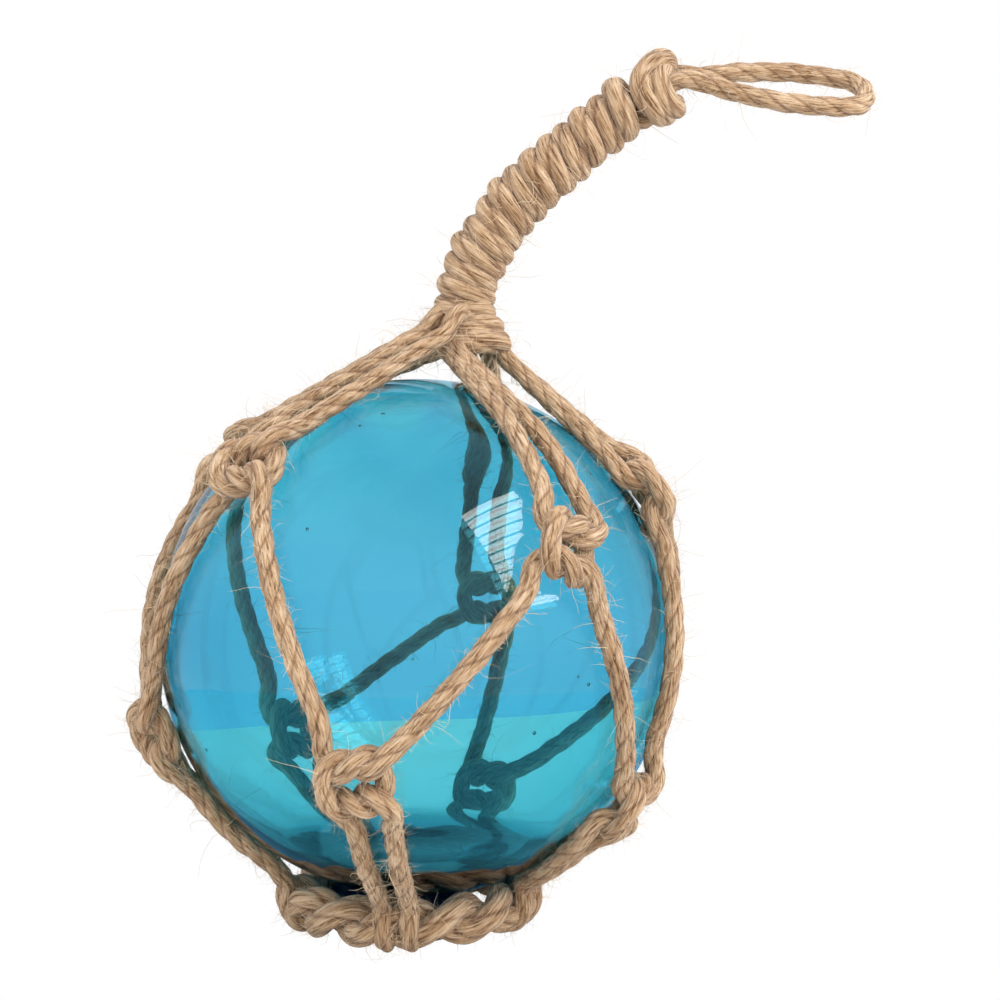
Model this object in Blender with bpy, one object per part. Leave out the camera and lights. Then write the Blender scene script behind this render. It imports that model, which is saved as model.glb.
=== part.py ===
"""Glass float ball in a knotted rope net, with a served rope handle and a hanging eye.

Metres, +Z up, +X towards the bend of the handle. The origin is the middle of the flat
underside of the glass seal, which stands on the floor.
"""
import math

import bmesh
import bpy
import numpy as np

# Glass
BALL_DIAMETER = 0.127
BALL_SEGMENTS = 36
SEAL_DIAMETER = 0.036
SEAL_FLAT_DIAMETER = 0.031
SEAL_DROP = 0.0100
SEAL_ROUNDING = 0.3
SEAL_OFFSET = 0.0045

# Rope, and how far it is squeezed where it is knotted or gathered
CORD_DIAMETER = 0.0058
KNOT_SQUEEZE = 0.84
NECK_SQUEEZE = 0.76
GAP = 0.0003

# Base ring, one rope laid round twice about itself
RING_RADIUS = 0.027
RING_CORD_DIAMETER = 0.0054
RING_HALF_TWISTS = 13
RING_SLACK = 0.0015
RING_LEAN = 4.0
RING_FIRST_AZIMUTH = -4.0
RING_TUCK = 0.7

# Net knots: azimuth from the front towards +X, latitude and roll, in degrees.
# Upper knot k joins the cords of lower knots k and k + 1.
LOWER_KNOTS = ((-10.0, -20.0, 10.0), (57.0, -28.5, -8.0), (159.0, -46.0, 0.0),
               (218.0, -28.5, 6.0), (286.0, -18.0, -6.0))
UPPER_KNOTS = ((34.0, 23.0, -28.0), (77.5, 33.0, 8.0), (165.0, 2.0, -6.0),
               (255.0, 41.0, 5.0), (315.0, 40.0, 24.0))
PAIR_SPREAD = 16.0

# Pulling a knot tight. Its lengths are in diameters of the squeezed rope.
KNOT_REACH = 3.2
KNOT_POINT_STEP = 0.22
KNOT_SPACING = 1.07
KNOT_DEPTH = 0.56
KNOT_END_DEPTH = 0.45
KNOT_SELF_CONTACT = 1.5
KNOT_END_PULL = 0.3
KNOT_SMOOTHING = 0.35
KNOT_PUSH_LIMIT = 0.1
CONTACT_PASSES = 4
FIRST_TIGHTENING = 150
LAST_TIGHTENING = 60

# Neck, where the ten cords are gathered under the handle
NECK_LEAN = 10.5
NECK_LIFT = 0.0020

# Handle, wound with one rope. Its route is given in X and Z from the neck.
HANDLE_ROUTE = ((0.0, 0.0), (-0.0016, 0.0147), (0.0025, 0.0281), (0.0123, 0.0414),
                (0.0245, 0.0523), (0.0342, 0.0595), (0.0445, 0.0645))
SERVING_PITCH = 0.0056
SERVING_GROOVE = 0.0012
SERVING_BASE_DIAMETER = 0.0140
SERVING_MIDDLE_DIAMETER = 0.0160
SERVING_TOP_DIAMETER = 0.0142
COLLAR_DIAMETER = 0.0205
COLLAR_LENGTH = 0.0060
END_KNOT_DIAMETER = 0.0185
END_KNOT_LENGTH = 0.0085

# Hanging eye, one rope doubled back into the handle
EYE_THROAT_LENGTH = 0.012
EYE_LENGTH = 0.038
EYE_WIDTH = 0.0160
EYE_DROOP = 0.0030
EYE_TILT = 60.0

# Facets
CORD_SIDES = 6
KNOT_FACET_BEND = 0.76
RUN_FACET = 0.0120
EYE_FACET = 0.0026
SERVING_SIDES = 10
SERVING_STEPS_PER_TURN = 4

# Sizes that follow
BALL_RADIUS = BALL_DIAMETER / 2
BALL_CENTRE = np.array([SEAL_OFFSET, 0.0, BALL_RADIUS + SEAL_DROP])
CORD_RADIUS = CORD_DIAMETER / 2
KNOT_UNIT = CORD_DIAMETER * KNOT_SQUEEZE
RING_LAY = (RING_CORD_DIAMETER + 2 * GAP) / 2
RING_BUNDLE_RADIUS = RING_LAY + RING_CORD_DIAMETER / 2
LIE_RADIUS = BALL_RADIUS + GAP + CORD_RADIUS

MATERIALS = {
    "glass": ((0.10, 0.52, 0.72, 1.0), 0.08, 0.0),
    "rope": ((0.52, 0.37, 0.21, 1.0), 0.85, 0.0),
}


def clear_scene():
    """Remove every object that the file opened with."""
    for thing in list(bpy.data.objects):
        bpy.data.objects.remove(thing, do_unlink=True)


def make_material(name):
    """A Principled material with the colour, roughness and metallic value listed above."""
    colour, roughness, metallic = MATERIALS[name]
    material = bpy.data.materials.new(name)
    material.use_nodes = True
    shader = material.node_tree.nodes["Principled BSDF"]
    shader.inputs["Base Color"].default_value = colour
    shader.inputs["Roughness"].default_value = roughness
    shader.inputs["Metallic"].default_value = metallic
    return material


def add_object(name, vertices, faces, material):
    """A mesh object with its faces turned out and its curved sides shaded smooth."""
    mesh = bpy.data.meshes.new(name)
    mesh.from_pydata([tuple(v) for v in vertices], [], faces)
    working = bmesh.new()
    working.from_mesh(mesh)
    bmesh.ops.recalc_face_normals(working, faces=working.faces)
    working.to_mesh(mesh)
    working.free()
    mesh.shade_smooth()
    mesh.set_sharp_from_angle(angle=math.radians(50.0))
    mesh.materials.append(material)
    thing = bpy.data.objects.new(name, mesh)
    bpy.context.scene.collection.objects.link(thing)
    return thing


def unit(vector):
    """The vector at length one."""
    return vector / np.linalg.norm(vector)


def path_lengths(points):
    """Distance along a path to each of its points."""
    steps = np.linalg.norm(np.diff(points, axis=0), axis=1)
    return np.concatenate([[0.0], np.cumsum(steps)])


def resample(points, count):
    """The same path, as evenly spaced points."""
    along = path_lengths(points)
    wanted = np.linspace(0.0, along[-1], count)
    return np.stack([np.interp(wanted, along, points[:, k]) for k in range(3)], axis=1)


def smooth_curve(controls, per_span=10, start_along=None):
    """A smooth curve through a few points chosen by hand, and from a direction if one is given."""
    points = np.array(controls, dtype=float)
    before_start = 2 * points[0] - points[1]
    if start_along is not None:
        before_start = points[1] - 2 * start_along * np.linalg.norm(points[1] - points[0])
    points = np.vstack([before_start, points, 2 * points[-1] - points[-2]])
    curve = []
    for k in range(1, len(points) - 2):
        before, start, end, after = points[k - 1:k + 3]
        for t in np.linspace(0.0, 1.0, per_span, endpoint=False):
            curve.append(0.5 * (2 * start + (end - before) * t
                                + (2 * before - 5 * start + 4 * end - after) * t ** 2
                                + (3 * start - before - 3 * end + after) * t ** 3))
    curve.append(points[-2])
    return np.array(curve)


def path_frames(points, closed=False):
    """Two directions across a path at each point, carried along it without twist."""
    if closed:
        tangents = np.roll(points, -1, axis=0) - np.roll(points, 1, axis=0)
    else:
        tangents = np.gradient(points, axis=0)
    tangents = tangents / np.linalg.norm(tangents, axis=1)[:, None]
    spare = np.eye(3)[np.argmin(np.abs(tangents[0]))]
    side = unit(np.cross(tangents[0], spare))
    sides = []
    for tangent in tangents:
        side = unit(side - tangent * np.dot(side, tangent))
        sides.append(side)
    sides = np.array(sides)
    return sides, np.cross(tangents, sides)


def tube(name, points, radii, sides, material, closed=False):
    """A closed solid tube along a path, with flat ends or joined into a ring."""
    across, upward = path_frames(points, closed)
    count = len(points)
    turn = 0.0
    if closed:
        drift = np.array([np.dot(across[0], across[-1]), np.dot(across[0], upward[-1])])
        turn = math.atan2(drift[1], drift[0])
    vertices = []
    for k in range(count):
        for j in range(sides):
            angle = 2 * math.pi * j / sides + turn * k / count
            spoke = across[k] * math.cos(angle) + upward[k] * math.sin(angle)
            vertices.append(points[k] + spoke * radii[k])
    faces = []
    for k in range(count if closed else count - 1):
        here, there = k * sides, ((k + 1) % count) * sides
        for j in range(sides):
            step = (j + 1) % sides
            faces.append((here + j, here + step, there + step, there + j))
    if not closed:
        faces.append(tuple(range(sides)))
        faces.append(tuple((count - 1) * sides + j for j in range(sides)))
    return add_object(name, vertices, faces, material)


def direction(azimuth, latitude):
    """The unit vector at an azimuth from the front towards +X and a latitude, in degrees."""
    turn, rise = math.radians(azimuth), math.radians(latitude)
    return np.array([math.sin(turn) * math.cos(rise), -math.cos(turn) * math.cos(rise),
                     math.sin(rise)])


def leaning_axis(lean):
    """The unit vector that leans from straight up towards +X, in degrees."""
    return np.array([math.sin(math.radians(lean)), 0.0, math.cos(math.radians(lean))])


def make_glass(material):
    """The solid ball with the flat-bottomed seal under it."""
    rings = BALL_SEGMENTS // 2
    bpy.ops.mesh.primitive_uv_sphere_add(segments=BALL_SEGMENTS, ring_count=rings,
                                         radius=BALL_RADIUS, location=BALL_CENTRE)
    ball = bpy.context.object
    ball.name = "glass_ball"
    ball.data.shade_smooth()
    ball.data.materials.append(material)
    flat, waist = SEAL_FLAT_DIAMETER / 2, SEAL_DIAMETER / 2
    buried = SEAL_DROP + SEAL_DIAMETER / 4
    rounding = SEAL_DROP * SEAL_ROUNDING
    profile = ((flat, 0.0), (waist, rounding), (waist, SEAL_DROP - rounding), (waist, buried))
    vertices = []
    for radius, height in profile:
        for j in range(BALL_SEGMENTS):
            angle = 2 * math.pi * j / BALL_SEGMENTS
            vertices.append((radius * math.cos(angle), radius * math.sin(angle), height))
    faces = [tuple(range(BALL_SEGMENTS))]
    for level in range(len(profile) - 1):
        for j in range(BALL_SEGMENTS):
            step = (j + 1) % BALL_SEGMENTS
            low, high = level * BALL_SEGMENTS, (level + 1) * BALL_SEGMENTS
            faces.append((low + j, low + step, high + step, high + j))
    faces.append(tuple((len(profile) - 1) * BALL_SEGMENTS + j for j in range(BALL_SEGMENTS)))
    seal = add_object("seal_guide", vertices, faces, material)
    seal.hide_render = True
    seal.display_type = "WIRE"
    join = ball.modifiers.new("seal", "BOOLEAN")
    join.operation = "UNION"
    join.object = seal
    return ball


def ring_frame():
    """Centre of the base ring, its axis, and its directions at azimuth 0 and 90 degrees."""
    axis = leaning_axis(RING_LEAN)
    reach = BALL_RADIUS + GAP + RING_BUNDLE_RADIUS + RING_SLACK
    centre = BALL_CENTRE - axis * math.sqrt(reach ** 2 - RING_RADIUS ** 2)
    front = np.array([0.0, -1.0, 0.0])
    return centre, axis, front, np.cross(-front, axis)


def ring_point(azimuth):
    """A point on the middle line of the base ring."""
    centre, _, front, right = ring_frame()
    turn = math.radians(azimuth)
    return centre + RING_RADIUS * (front * math.cos(turn) + right * math.sin(turn))


def make_base_ring(material):
    """One rope laid twice round the seal, its two rounds twisted about each other."""
    centre, axis, front, right = ring_frame()
    count = 13 * RING_HALF_TWISTS // 2
    points = []
    for k in range(count):
        turn = 4 * math.pi * k / count
        lay = RING_HALF_TWISTS * turn / 2
        radial = front * math.cos(turn) + right * math.sin(turn)
        out = RING_RADIUS + RING_LAY * math.cos(lay)
        points.append(centre + radial * out + axis * RING_LAY * math.sin(lay))
    radii = np.full(count, RING_CORD_DIAMETER / 2)
    return tube("base_ring", np.array(points), radii, CORD_SIDES, material, closed=True)


def loose_knot():
    """Two ropes in a loose reef knot, in rope diameters: the first lies open to the left."""
    half = ((-3.0, 1.3, -0.45), (-2.2, 0.8, -0.6), (-1.5, 0.6, -0.7), (-0.7, 0.8, 0.0),
            (0.0, 1.3, 0.8), (0.9, 1.9, 0.0), (1.7, 1.4, -0.7), (2.0, 0.0, -0.8))
    controls = list(half) + [(u, -v, w) for u, v, w in half[-2::-1]]
    curve = smooth_curve(controls)
    count = int(path_lengths(curve)[-1] / KNOT_POINT_STEP) + 1
    left = resample(curve, count)[::-1]
    right = left * np.array([-1.0, 1.0, -1.0])
    return np.stack([left, right])


def tighten(ropes, ends, rounds):
    """Pull two ropes tight between their ends while they keep off each other and the ball.

    Lengths are in diameters of the squeezed rope. The ropes run from their lower ends to
    their upper ends, and w, the third axis, points away from the ball.
    """
    count = ropes.shape[1]
    apart = KNOT_SPACING + GAP / KNOT_UNIT
    order = np.arange(count)
    own = np.abs(order[:, None] - order[None, :]) > KNOT_SELF_CONTACT / KNOT_POINT_STEP
    other = np.ones((count, count), dtype=bool)
    meets = np.block([[own, other], [other, own]])
    ropes = ropes.copy()
    for _ in range(rounds):
        for _ in range(CONTACT_PASSES):
            ropes[:, 0] += (ends[:, 0] - ropes[:, 0]) * KNOT_END_PULL
            ropes[:, -1] += (ends[:, 1] - ropes[:, -1]) * KNOT_END_PULL
            points = ropes.reshape(-1, 3)
            between = points[:, None] - points[None, :]
            distance = np.linalg.norm(between, axis=2) + 1e-9
            push = np.where(meets & (distance < apart), (apart - distance) / distance / 4, 0.0)
            shift = (between * push[..., None]).sum(axis=1)
            points = points + np.clip(shift, -KNOT_PUSH_LIMIT, KNOT_PUSH_LIMIT)
            points[:, 2] = np.maximum(points[:, 2], -KNOT_DEPTH)
            ropes = points.reshape(2, count, 3)
        middle = (ropes[:, :-2] + ropes[:, 2:]) / 2 - ropes[:, 1:-1]
        ropes[:, 1:-1] += KNOT_SMOOTHING * middle
        ropes = np.stack([resample(rope, count) for rope in ropes])
    return ropes


def knot_frame(knot):
    """Directions to the right, upwards and away from the ball at a knot."""
    azimuth, latitude, roll = knot
    away = direction(azimuth, latitude)
    turn = math.radians(azimuth)
    east = np.array([math.cos(turn), math.sin(turn), 0.0])
    north = np.cross(away, east)
    lean = math.radians(roll)
    right = east * math.cos(lean) + north * math.sin(lean)
    return right, np.cross(away, right), away


def heading(knot, target):
    """Direction from a knot to a point over the ball, in degrees from straight up to the right."""
    right, upward, away = knot_frame(knot)
    to_target = unit(target - BALL_CENTRE) - away
    return math.degrees(math.atan2(np.dot(to_target, right), np.dot(to_target, upward)))


def knot_ends(knot, targets):
    """End points of the two ropes of a knot, kept at least the pair's spread from its axis."""
    lower_left, upper_left, lower_right, upper_right = [heading(knot, t) for t in targets]
    angles = ((np.clip(lower_left % 360.0 - 360.0, -180.0 + PAIR_SPREAD, -95.0),
               np.clip((upper_left + 180.0) % 360.0 - 180.0, -85.0, -PAIR_SPREAD)),
              (np.clip(lower_right % 360.0, 95.0, 180.0 - PAIR_SPREAD),
               np.clip((upper_right + 180.0) % 360.0 - 180.0, PAIR_SPREAD, 85.0)))
    turn = np.radians(angles)
    return np.stack([KNOT_REACH * np.sin(turn), KNOT_REACH * np.cos(turn),
                     np.full((2, 2), -KNOT_END_DEPTH)], axis=-1)


def place_knot(knot, ropes):
    """Move knotted ropes from their own frame onto the ball, bent to its curve."""
    right, upward, away = knot_frame(knot)
    middle = BALL_RADIUS + GAP + KNOT_UNIT * (0.5 + KNOT_DEPTH)
    local = ropes * KNOT_UNIT
    across = (local[..., 0] ** 2 + local[..., 1] ** 2) / (2 * middle)
    height = middle + local[..., 2] - across
    return (BALL_CENTRE + local[..., 0:1] * right + local[..., 1:2] * upward
            + height[..., None] * away)


def lying_run(start, end, step):
    """Points between two ends, on the shortest way over the ball, without the ends."""
    first, last = start - BALL_CENTRE, end - BALL_CENTRE
    angle = math.acos(np.clip(np.dot(unit(first), unit(last)), -1.0, 1.0))
    spans = max(2, int(round(angle * LIE_RADIUS / step)))
    points = []
    for k in range(1, spans):
        t = k / spans
        toward = (unit(first) * math.sin((1 - t) * angle)
                  + unit(last) * math.sin(t * angle)) / math.sin(angle)
        points.append(BALL_CENTRE + toward * LIE_RADIUS)
    return np.array(points)


def neck_slots():
    """Where the ten cords end under the handle, two side by side for each upper knot."""
    axis = leaning_axis(NECK_LEAN)
    front = np.array([0.0, -1.0, 0.0])
    right = np.cross(-front, axis)
    gathered = CORD_DIAMETER * NECK_SQUEEZE
    count = 2 * len(UPPER_KNOTS)
    reach = (gathered + 2 * GAP) / (2 * math.sin(math.pi / count))
    height = BALL_RADIUS + GAP + gathered / 2 + NECK_LIFT
    share = 360.0 / len(UPPER_KNOTS)
    first = np.mean([knot[0] % 360.0 - share * k for k, knot in enumerate(rotated_uppers())])
    slots = {}
    for k, knot in enumerate(rotated_uppers()):
        for side in (-1, 1):
            turn = math.radians(first + share * (k + side / 4))
            spoke = front * math.cos(turn) + right * math.sin(turn)
            slots[UPPER_KNOTS.index(knot), side] = BALL_CENTRE + axis * height + spoke * reach
    return slots


def rotated_uppers():
    """The upper knots in the order of their azimuth from the front."""
    return sorted(UPPER_KNOTS, key=lambda knot: knot[0] % 360.0)


def ring_end(azimuth, side, came_from):
    """Where a cord meets the base ring, beside its pair."""
    spread = math.degrees((CORD_DIAMETER + 2 * GAP) / 2 / RING_RADIUS)
    target = ring_point(azimuth + side * spread)
    back = unit(came_from - target)
    return target + back * (RING_BUNDLE_RADIUS + GAP + CORD_RADIUS * RING_TUCK)


def make_net(material):
    """Ten cords from the base ring to the neck, knotted in pairs at two levels."""
    count = len(LOWER_KNOTS)
    share = 360.0 / count
    slots = neck_slots()
    corners = [BALL_CENTRE + direction(turn, rise) for turn in (-40.0, 40.0) for rise in (-40.0, 40.0)]
    base = tighten(loose_knot(), knot_ends((0.0, 0.0, 0.0), corners), FIRST_TIGHTENING)
    lower, upper = [], []
    for k, knot in enumerate(LOWER_KNOTS):
        ring_azimuth = RING_FIRST_AZIMUTH + share * k
        targets = [ring_point(ring_azimuth), BALL_CENTRE + direction(*UPPER_KNOTS[k - 1][:2]),
                   ring_point(ring_azimuth), BALL_CENTRE + direction(*UPPER_KNOTS[k][:2])]
        lower.append(place_knot(knot, tighten(base, knot_ends(knot, targets), LAST_TIGHTENING)))
    for k, knot in enumerate(UPPER_KNOTS):
        following = LOWER_KNOTS[(k + 1) % count]
        targets = [BALL_CENTRE + direction(*LOWER_KNOTS[k][:2]), slots[k, -1],
                   BALL_CENTRE + direction(*following[:2]), slots[k, 1]]
        upper.append(place_knot(knot, tighten(base, knot_ends(knot, targets), LAST_TIGHTENING)))
    for k in range(count):
        for side, index, crossing in ((-1, 0, (k - 1) % count), (1, 1, k)):
            first = lower[k][index]
            second = upper[crossing][1 - index]
            foot = ring_end(RING_FIRST_AZIMUTH + share * k, side, first[0])
            head = slots[crossing, -side]
            word = "left" if side < 0 else "right"
            make_cord(f"net_cord_{k + 1}_{word}", foot, first, second, head, material)


def make_cord(name, foot, first, second, head, material):
    """One net cord: from the ring, through a lower and an upper knot, to the neck."""
    gathered = CORD_RADIUS * NECK_SQUEEZE
    sections = [(np.array([foot]), CORD_RADIUS, CORD_RADIUS),
                (lying_run(foot, first[0], RUN_FACET), CORD_RADIUS, CORD_RADIUS),
                (facet_knot(first), KNOT_UNIT / 2, KNOT_UNIT / 2),
                (lying_run(first[-1], second[0], RUN_FACET), CORD_RADIUS, CORD_RADIUS),
                (facet_knot(second), KNOT_UNIT / 2, KNOT_UNIT / 2),
                (lying_run(second[-1], head, RUN_FACET), CORD_RADIUS, gathered),
                (np.array([head]), gathered, gathered)]
    points = np.vstack([section for section, _, _ in sections])
    radii = np.concatenate([np.linspace(start, end, len(section))
                            for section, start, end in sections])
    return tube(name, points, radii, CORD_SIDES, material)


def facet_knot(points):
    """A knotted stretch with fewer points, closer together where it bends more."""
    steps = np.diff(points, axis=0)
    lengths = np.linalg.norm(steps, axis=1)
    headings = steps / lengths[:, None]
    bends = np.arccos(np.clip((headings[1:] * headings[:-1]).sum(axis=1), -1.0, 1.0))
    cost = lengths / RUN_FACET
    cost[1:] += bends / KNOT_FACET_BEND
    along = np.concatenate([[0.0], np.cumsum(cost)])
    wanted = np.linspace(0.0, along[-1], int(round(along[-1])) + 1)
    return np.stack([np.interp(wanted, along, points[:, k]) for k in range(3)], axis=1)


def handle_path():
    """The middle line of the handle, from the neck to its far end."""
    gathered = CORD_DIAMETER * NECK_SQUEEZE
    rise = BALL_RADIUS + gathered + NECK_LIFT + 3 * GAP
    axis = leaning_axis(NECK_LEAN)
    neck = BALL_CENTRE + axis * rise
    route = [neck + np.array([x, 0.0, z]) for x, z in HANDLE_ROUTE]
    return smooth_curve(route, per_span=24, start_along=axis)


def make_handle(material):
    """The handle's winding: helical ridges with a thick first turn and an end knot."""
    curve = handle_path()
    length = path_lengths(curve)[-1]
    turns = max(3, int(round(length / SERVING_PITCH)))
    count = turns * SERVING_STEPS_PER_TURN + 1
    points = resample(curve, count)
    across, upward = path_frames(points)
    vertices = []
    for k in range(count):
        along = length * k / (count - 1)
        place = (0.0, COLLAR_LENGTH, COLLAR_LENGTH + SERVING_PITCH / 2, length * 0.6,
                 length - END_KNOT_LENGTH - SERVING_PITCH / 2, length - END_KNOT_LENGTH, length)
        size = (COLLAR_DIAMETER, COLLAR_DIAMETER, SERVING_BASE_DIAMETER, SERVING_MIDDLE_DIAMETER,
                SERVING_TOP_DIAMETER, END_KNOT_DIAMETER, END_KNOT_DIAMETER)
        crest = np.interp(along, place, size) / 2
        for j in range(SERVING_SIDES):
            angle = 2 * math.pi * j / SERVING_SIDES
            lay = along * turns / length + j / SERVING_SIDES
            radius = crest - SERVING_GROOVE * (1 - abs(math.sin(math.pi * lay)))
            spoke = across[k] * math.cos(angle) + upward[k] * math.sin(angle)
            vertices.append(points[k] + spoke * radius)
    faces = [tuple(range(SERVING_SIDES))]
    for k in range(count - 1):
        for j in range(SERVING_SIDES):
            step = (j + 1) % SERVING_SIDES
            here, there = k * SERVING_SIDES, (k + 1) * SERVING_SIDES
            faces.append((here + j, here + step, there + step, there + j))
    faces.append(tuple((count - 1) * SERVING_SIDES + j for j in range(SERVING_SIDES)))
    return add_object("handle_serving", vertices, faces, material)


def across_eye(forward):
    """The direction from the middle of the eye to its nearer side, square to its length."""
    sideways = np.array([0.0, -1.0, 0.0])
    tilt = math.radians(EYE_TILT)
    return unit(np.cross(sideways, forward)) * -math.cos(tilt) + sideways * math.sin(tilt)


def make_eye(material):
    """The hanging eye: a rope that leaves the handle's end, turns and goes back into it."""
    curve = handle_path()
    onward = unit(curve[-1] - curve[-3])
    ahead = unit(np.array([1.0, 0.0, -EYE_DROOP / EYE_LENGTH]))
    start = curve[-1] + onward * GAP
    beside = (CORD_DIAMETER + 2 * GAP) / 2
    throat = start + (onward + ahead) * EYE_THROAT_LENGTH / 2
    middle = [(start, onward, beside), (start + onward * EYE_THROAT_LENGTH / 2, onward, beside),
              (throat, ahead, beside)]
    for share, width in ((0.25, 0.72), (0.5, 1.0), (0.75, 0.98), (0.93, 0.62)):
        middle.append((throat + ahead * EYE_LENGTH * share, ahead, EYE_WIDTH / 2 * width))
    near = [centre + across_eye(forward) * width for centre, forward, width in middle]
    far = [centre - across_eye(forward) * width for centre, forward, width in middle]
    tip = throat + ahead * EYE_LENGTH
    route = smooth_curve(near + [tip] + far[::-1])
    points = resample(route, int(path_lengths(route)[-1] / EYE_FACET))
    radii = np.full(len(points), CORD_RADIUS)
    return tube("hanging_eye", points, radii, CORD_SIDES, material)


def main():
    clear_scene()
    glass = make_material("glass")
    rope = make_material("rope")
    make_glass(glass)
    make_base_ring(rope)
    make_net(rope)
    make_handle(rope)
    make_eye(rope)


main()
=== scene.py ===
"""The looks of a glass float ball in a knotted jute net, with a wound handle and a rope eye.

Metres, +Z up. The glass is blown and hollow. Every rope is a three-strand jute rope, made
as one skin along its route, with its loose fibres as fine ribbons.
"""
import math

import bmesh
import bpy
import numpy as np
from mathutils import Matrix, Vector


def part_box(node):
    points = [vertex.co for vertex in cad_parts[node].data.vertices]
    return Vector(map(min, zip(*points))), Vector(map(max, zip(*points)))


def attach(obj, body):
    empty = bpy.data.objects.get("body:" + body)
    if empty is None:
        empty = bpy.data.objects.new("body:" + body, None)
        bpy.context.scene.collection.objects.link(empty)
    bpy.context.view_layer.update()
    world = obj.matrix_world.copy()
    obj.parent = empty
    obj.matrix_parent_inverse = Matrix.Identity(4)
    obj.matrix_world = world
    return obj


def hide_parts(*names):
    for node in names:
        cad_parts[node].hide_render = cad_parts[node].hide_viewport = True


# Seal, the lump of glass that closes the ball underneath
SEAL_DIAMETER = 0.036
SEAL_FLAT_DIAMETER = 0.031
SEAL_DROP = 0.0100
SEAL_ROUNDING = 0.3
SEAL_ROUNDING_STEPS = 9
SEAL_SHOULDER_SHARE = 0.97
SEAL_TOP_SHARE = 0.9
SEAL_BURIED_SHARE = 0.25
SEAL_SEGMENTS = 96
WELD_DISTANCE = 1e-6

# Glass: its wall, and what the wall gains lower down and under the ball
GLASS_WALL = 0.0018
GLASS_SEGMENTS = 160
SHARP_ANGLE = 50.0
LOW_WALL_START = 0.60
LOW_WALL_SPAN = 0.30
LOW_WALL_GAIN = 0.0005
BASE_WALL_START = 0.82
BASE_WALL_SPAN = 0.14
BASE_WALL_GAIN = 0.0042

# Waves on the inside of the glass, by direction from the middle of the ball: sideways,
# from front to back, upwards, and near the top
GLASS_WAVE = 0.00025
WAVE_ACROSS = (3.1, 1.3)
WAVE_DEEP = (4.3, 0.4)
WAVE_RISING = (7.0, 2.0)
WAVE_RISING_HEIGHT = 0.6
TOP_WAVE = (17.0, 3.0, 15.0)
TOP_WAVE_START = 0.50
TOP_WAVE_HEIGHT = 3.0

# Bubbles in the glass
BUBBLE_COUNT = 26
BUBBLE_AZIMUTHS = (-100.0, 100.0)
BUBBLE_LATITUDES = (-60.0, 65.0)
BUBBLE_RADII = (0.00022, 0.0005)
BUBBLE_SUBDIVISIONS = 2
BUBBLE_SEED = 5

# Net rope: the diameter that knots and neck are set out by, and the radius it is laid with
CORD_DIAMETER = 0.0058
NET_ROPE_RADIUS = 0.0024
GAP = 0.0003
LYING_STEP = 0.004
TAUT_ROUNDS = 300

# Knots on the ball, as azimuth from the front towards +X, latitude and roll, in degrees
LOWER_KNOTS = ((-10.0, -20.0, 10.0), (59.5, -32.0, -8.0), (159.0, -46.0, 0.0),
               (218.0, -28.5, 6.0), (286.0, -18.0, -6.0))
UPPER_KNOTS = ((34.0, 23.0, -28.0), (77.5, 33.0, 8.0), (165.0, 2.0, -6.0),
               (246.0, 40.0, 5.0), (315.0, 40.0, 24.0))

# Half of the first rope's route through a loose knot, in rope diameters
LOOSE_HALF = ((-3.0, 1.3, -0.45), (-2.2, 0.8, -0.6), (-1.5, 0.6, -0.7), (-0.7, 0.8, 0.0),
              (0.0, 1.3, 0.8), (0.9, 1.9, 0.0), (1.7, 1.4, -0.7), (2.0, 0.0, -0.8))

# How a knot is tightened, in rope diameters, degrees, shares and rounds
KNOT_SQUEEZE = 0.84
KNOT_REACH = 3.2
KNOT_POINT_STEP = 0.22
KNOT_SPACING = 0.80
KNOT_DEPTH = 0.46
KNOT_END_DEPTH = 0.40
KNOT_SELF_CONTACT = 1.5
KNOT_END_PULL = 0.3
KNOT_SMOOTHING = 0.35
KNOT_PUSH_SHARE = 0.25
KNOT_PUSH_LIMIT = 0.1
KNOT_HEIGHT_SHARE = 0.88
PAIR_SPREAD = 16.0
SIDE_MARGIN = 5.0
FIRST_KNOT_CORNER = 40.0
CONTACT_PASSES = 4
FIRST_TIGHTENING = 320
LAST_TIGHTENING = 140

# Neck, where the ten cords are gathered under the handle
NECK_SQUEEZE = 0.76
NECK_SWELL = 0.95
NECK_LEAN = 10.5
NECK_LIFT = 0.0020
NECK_LEAD = 74.0
HEAD_LIFT = 0.0040
TUCK_IN = 0.55
TUCK_UP = 0.005

# Cords that rise beside the winding before they go into it, as upper knot and side,
# and their way there, as distances outwards and upwards
RISING_CORDS = ((4, -1), (4, 1), (3, 1))
RISING_WAY = ((0.0034, 0.0030), (0.0022, 0.0068), (-0.0010, 0.0088), (-0.0046, 0.0084))

# Base ring
RING_RADIUS = 0.027
RING_CORD_DIAMETER = 0.0054
RING_ROPE_RADIUS = 0.0033
RING_HALF_TWISTS = 13
RING_LAY_START = math.pi / 2
RING_SLACK = 0.0009
RING_LEAN = -1.2
RING_SET_ASIDE = 1.6
RING_FIRST_AZIMUTH = -4.0
RING_POINTS = 700

# A cord's lower end round the base ring, as degrees above its outer side and reach
HITCH = ((-150.0, 0.0030), (-110.0, 0.0046), (-70.0, 0.0048), (-30.0, 0.0046), (10.0, 0.0050),
         (52.0, 0.0060))
HITCH_SPREAD = 1.15

# Handle's middle line, from the neck, as distances along +X and +Z
HANDLE_ROUTE = ((0.0, 0.0), (-0.0009, 0.0144), (0.0041, 0.0273), (0.0143, 0.0399),
                (0.0263, 0.0505), (0.0355, 0.0580), (0.0447, 0.0639))
HANDLE_STEPS = 24

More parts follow.
